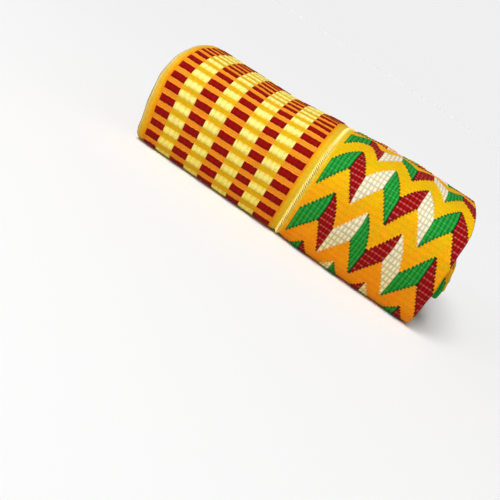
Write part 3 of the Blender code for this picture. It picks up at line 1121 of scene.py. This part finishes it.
def zigzag_weave(ends):
    """Golden ground with rows of green, dark red and cream leaves along a zigzag."""
    shader = Shader("zigzag_weave")
    x, v = shader.cloth_place()
    steps = [MARGIN_CELLS] + [LEAF_CELLS] * (len(LEAVES) - 1)
    cell = shader.ladder(x, [0.0] + [leaf.to_x for leaf in LEAVES], steps) - MARGIN_CELLS
    within = v < CUT_AT
    v = within * INNER_SHIFT + v
    order = ((cell / LEAF_CELLS).floor() - within) % len(LEAF_ORDER)
    turn = leaf_turn(((cell * EDGE_STEPS).floor() + 0.5) / EDGE_STEPS)
    belly = (turn * math.pi).sine() * LEAF_BELLY
    tall = belly + LEAF_TALL
    inside = below_leaf_top(turn, v, belly)
    in_column = below_leaf_top(leaf_turn(cell.floor() + 0.5), v, CELL_TALL)
    across = wave(cell, 1.0, THREAD_ROUND)
    along = wave(in_column, CELL_TALL, 1.0)
    inlay = leaf_colour(shader, cell, order, across, along)
    tooth = (inside.least(tall - inside) < TOOTH_TALL) * (order < DARK_LEAVES - 0.5)
    inlay = shader.shade(inlay, tooth.between(1.0, TOOTH_SHADE))
    covered = (inside < tall) * (cell > 0.0)
    colour = shader.mix(covered, zigzag_ground(shader, x, v), inlay)
    colour = shader.mix(x < SEAM_BAND, colour, edge_bands(shader, x, SEAM_LINES))
    return finish_cloth(shader, colour, x, v, ends)


def thread_material():
    """Pale sewing thread."""
    shader = Shader("seam_thread")
    grain = shader.noise(shader.node("TexCoord").outputs["Object"], SEWING_GRAIN)
    shader.feed(shader.surface.inputs["Base Color"], shader.mix(grain, CREAM, SEWING_THREAD))
    shader.surface.inputs["Roughness"].default_value = SEWING_ROUGHNESS
    shader.bump(grain, *SEWING_BUMP)
    return shader.material


def add_piece(name, mesh, material, nodes):
    """A piece of the model, in place of the solids it stands for."""
    for polygon in mesh.polygons:
        polygon.use_smooth = True
    mesh.materials.append(material)
    piece = bpy.data.objects.new(name, mesh)
    bpy.context.scene.collection.objects.link(piece)
    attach(piece, "root")
    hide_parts(*nodes)
    return piece


def add_strip(name, section, columns, rows, skew, relief, material):
    """The outer and the inner sheet of one strip."""
    node = name + "_strip"
    mesh = sheet_mesh(name + "_outer", section, columns, rows, skew, relief)
    outer = add_piece(name + "_cloth_outer", mesh, material, [node])
    inner_columns = hidden_columns(columns)
    inner_rows = with_hem_rows(coarse_rows(section, section.from_v, CUT_AT - CUT_GAP), section.from_v)
    mesh = sheet_mesh(name + "_inner", section, inner_columns, inner_rows, skew, None)
    inner = add_piece(name + "_cloth_inner", mesh, material, [node])


def tube_mesh(name, paths, radius):
    """Closed tubes along many paths of the same number of points, as one mesh."""
    along = unit(np.gradient(paths, axis=1))
    aside = unit(np.cross(along, np.array([0.31, 0.52, 0.79])))
    upward = np.cross(along, aside)
    angles = np.linspace(0.0, 2 * np.pi, STITCH_SIDES, endpoint=False)
    taper = np.sin(np.linspace(STITCH_TIP, np.pi - STITCH_TIP, paths.shape[1])) ** STITCH_BLUNT
    ring = np.cos(angles)[:, None] * aside[:, :, None] + np.sin(angles)[:, None] * upward[:, :, None]
    points = paths[:, :, None] + radius * taper[None, :, None, None] * ring
    number, count, sides = points.shape[:3]
    index = np.arange(number * count * sides).reshape(number, count, sides)
    here, there = index[:, :-1], index[:, 1:]
    quads = np.stack([here, np.roll(here, -1, axis=2), np.roll(there, -1, axis=2), there], axis=-1)
    caps = index[:, 0, ::-1].tolist() + index[:, -1].tolist()
    mesh = bpy.data.meshes.new(name)
    mesh.from_pydata((points.reshape(-1, 3) * MM).tolist(), [], quads.reshape(-1, 4).tolist() + caps)
    mesh.update()
    return mesh


def add_seam_stitches(section):
    """Overcast stitches that sew the two strips edge to edge."""
    v = np.arange(section.from_v + STITCHES_FROM, section.to_v - STITCHES_TO, STITCH_PITCH)
    share = np.linspace(-1.0, 1.0, STITCH_POINTS)
    x = np.broadcast_to(share * STITCH_REACH, (len(v), STITCH_POINTS))
    along = v[:, None] + share * STITCH_SLANT
    middle = lay(section, x, along, 0.0)
    aside = lay(section, x + PROBE, along, 0.0) - middle
    ahead = lay(section, x, along + PROBE, 0.0) - middle
    normal = unit(np.cross(ahead, aside))
    height = SHEET_THICKNESS / 2 + sheet_relief(x, along) + STITCH_LIFT * (1.0 - share ** 2)
    paths = middle + normal * (height - STITCH_SUNK)[..., None]
    paths[..., 2] = np.maximum(paths[..., 2], STITCH_RADIUS)
    mesh = tube_mesh("seam_stitches", paths, STITCH_RADIUS)
    add_piece("seam_stitches", mesh, thread_material(), ["checked_strip", "zigzag_strip"])


def add_stage():
    """A wide pale floor."""
    bpy.ops.mesh.primitive_plane_add(size=FLOOR_SIZE, location=(0.0, 0.0, 0.0))
    floor = bpy.context.object
    floor.name = "floor"
    material = bpy.data.materials.new("pale_floor")
    material.use_nodes = True
    surface = material.node_tree.nodes["Principled BSDF"]
    surface.inputs["Base Color"].default_value = FLOOR_COLOUR
    surface.inputs["Roughness"].default_value = 0.9
    surface.inputs["Specular IOR Level"].default_value = 0.0
    floor.data.materials.append(material)


def add_camera():
    """The camera, rolled so that the bundle slopes down to the right."""
    forward = CAMERA_FORWARD.normalized()
    level = CAMERA_LEVEL.normalized()
    upright = level.cross(forward)
    right = level * math.cos(CAMERA_ROLL) + upright * math.sin(CAMERA_ROLL)
    top = upright * math.cos(CAMERA_ROLL) - level * math.sin(CAMERA_ROLL)
    data = bpy.data.cameras.new("camera")
    data.lens = CAMERA_LENS
    data.sensor_width = SENSOR_WIDTH
    camera = bpy.data.objects.new("camera", data)
    camera.matrix_world = Matrix((right, top, -forward)).transposed().to_4x4()
    camera.location = CAMERA_AT
    bpy.context.scene.collection.objects.link(camera)
    bpy.context.scene.camera = camera


def aim(light, direction):
    """Turn a light so that it shines along a direction."""
    light.rotation_mode = "QUATERNION"
    light.rotation_quaternion = direction.to_track_quat("-Z", "Y")
    bpy.context.scene.collection.objects.link(light)


def add_lights():
    """Broad soft light from above, a small lamp in front, and a pale surround."""
    sun = bpy.data.lights.new("broad_light", "SUN")
    sun.energy = SUN_STRENGTH
    sun.angle = SUN_SOFTNESS
    aim(bpy.data.objects.new("broad_light", sun), -SUN_FROM)
    lamp = bpy.data.lights.new("front_lamp", "AREA")
    lamp.energy = LAMP_POWER
    lamp.size = LAMP_SIZE
    holder = bpy.data.objects.new("front_lamp", lamp)
    holder.location = LAMP_AT
    aim(holder, -LAMP_AT)
    world = bpy.data.worlds.new("studio")
    bpy.context.scene.world = world
    world.use_nodes = True
    tree = world.node_tree
    direction = tree.nodes.new("ShaderNodeTexCoord")
    split = tree.nodes.new("ShaderNodeSeparateXYZ")
    tree.links.new(direction.outputs["Generated"], split.inputs[0])
    ramp = tree.nodes.new("ShaderNodeValToRGB")
    for element, sky in zip(ramp.color_ramp.elements, SKY):
        element.position = sky.upward
        element.color = (sky.grey,) * 3 + (1.0,)
    tree.links.new(split.outputs[2], ramp.inputs[0])
    tree.links.new(ramp.outputs[0], tree.nodes["Background"].inputs["Color"])
    bpy.context.scene.view_settings.view_transform = "Standard"


def main():
    section = Section()
    ends = (section.from_v, section.to_v)
    add_strip("checked", section, checked_columns(),
              outer_rows(section, BLOCK_PITCH / CHECKED_ROWS_PER_PITCH, FIRST_BLOCK),
              CHECKED_SKEW, checked_relief, checked_weave(ends))
    add_strip("zigzag", section, zigzag_columns(), outer_rows(section, WEFT_PITCH, FIRST_PEAK),
              ZIGZAG_SKEW, zigzag_relief, zigzag_weave(ends))
    add_seam_stitches(section)
    add_stage()
    add_camera()
    add_lights()


main()
